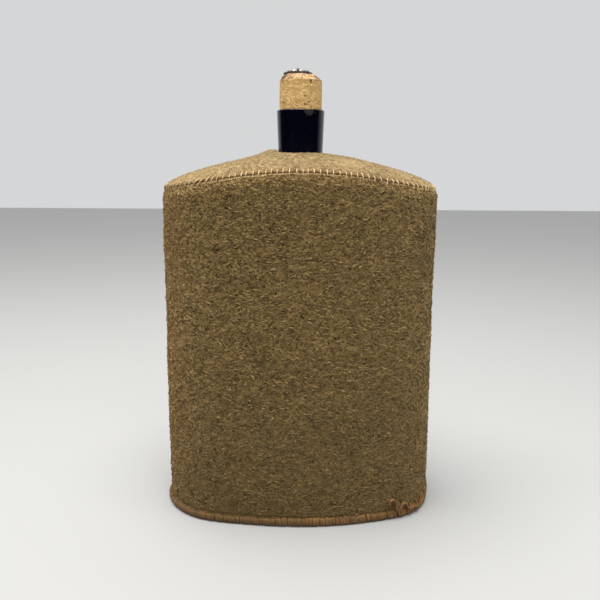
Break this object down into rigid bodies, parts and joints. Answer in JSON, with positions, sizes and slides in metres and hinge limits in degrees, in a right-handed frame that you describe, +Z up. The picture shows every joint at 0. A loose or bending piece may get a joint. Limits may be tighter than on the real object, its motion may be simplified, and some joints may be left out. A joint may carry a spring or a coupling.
{
  "type": "felt-covered water bottle",
  "caption": "Kidney-shaped enamelled steel water bottle in a sewn felt cover, with a short neck and a cork stopper that has a pull ring.",
  "frame": {"origin": "middle of the base, on the surface that the bottle stands on", "axes": "+Z up along the neck, -Y towards the bulging front, +X to the right seen from the front"},
  "size_m": [0.1508, 0.0738, 0.2413],
  "materials": {
    "enamel": "glossy dark blue vitreous enamel, chipped at the rim",
    "felt": "matted olive-brown wool felt",
    "felt_light": "faded olive-tan wool felt",
    "tan_thread": "light tan sewing thread",
    "brown_thread": "reddish-brown sewing thread",
    "cork": "dry natural cork",
    "rusty_steel": "dark, lightly rusted sheet steel",
    "ring_steel": "worn bright wire"
  },
  "bodies": {
    "bottle": {"bottle_wall": "enamel", "bottle_shoulder": "enamel", "bottle_base": "enamel", "bottle_neck": "enamel", "felt_body": "felt", "felt_shoulder": "felt_light", "felt_base": "felt", "top_seam_thread": "tan_thread", "bottom_seam_thread": "brown_thread", "back_seam_thread": "brown_thread", "loose_thread_end": "brown_thread"},
    "stopper": {"cork": "cork"},
    "eye_spindle": {"spindle": "rusty_steel", "top_washer": "rusty_steel", "bottom_washer": "rusty_steel"},
    "ring": {"pull_ring": "ring_steel"}
  },
  "joints": [
    {"name": "stopper_pull", "type": "slide", "parent": "bottle", "child": "stopper", "axis": [0, 0, 1], "range_m": [0, 0.06]},
    {"name": "spindle_swivel", "type": "hinge", "parent": "stopper", "child": "eye_spindle", "pos_m": [-0.001, -0.004, 0.23], "axis": [0, 0, 1], "continuous": true},
    {"name": "ring_swing", "type": "hinge", "parent": "eye_spindle", "child": "ring", "pos_m": [-0.001, -0.004, 0.24005], "axis": [1, 0, 0], "range_deg": [0, 180]}
  ]
}
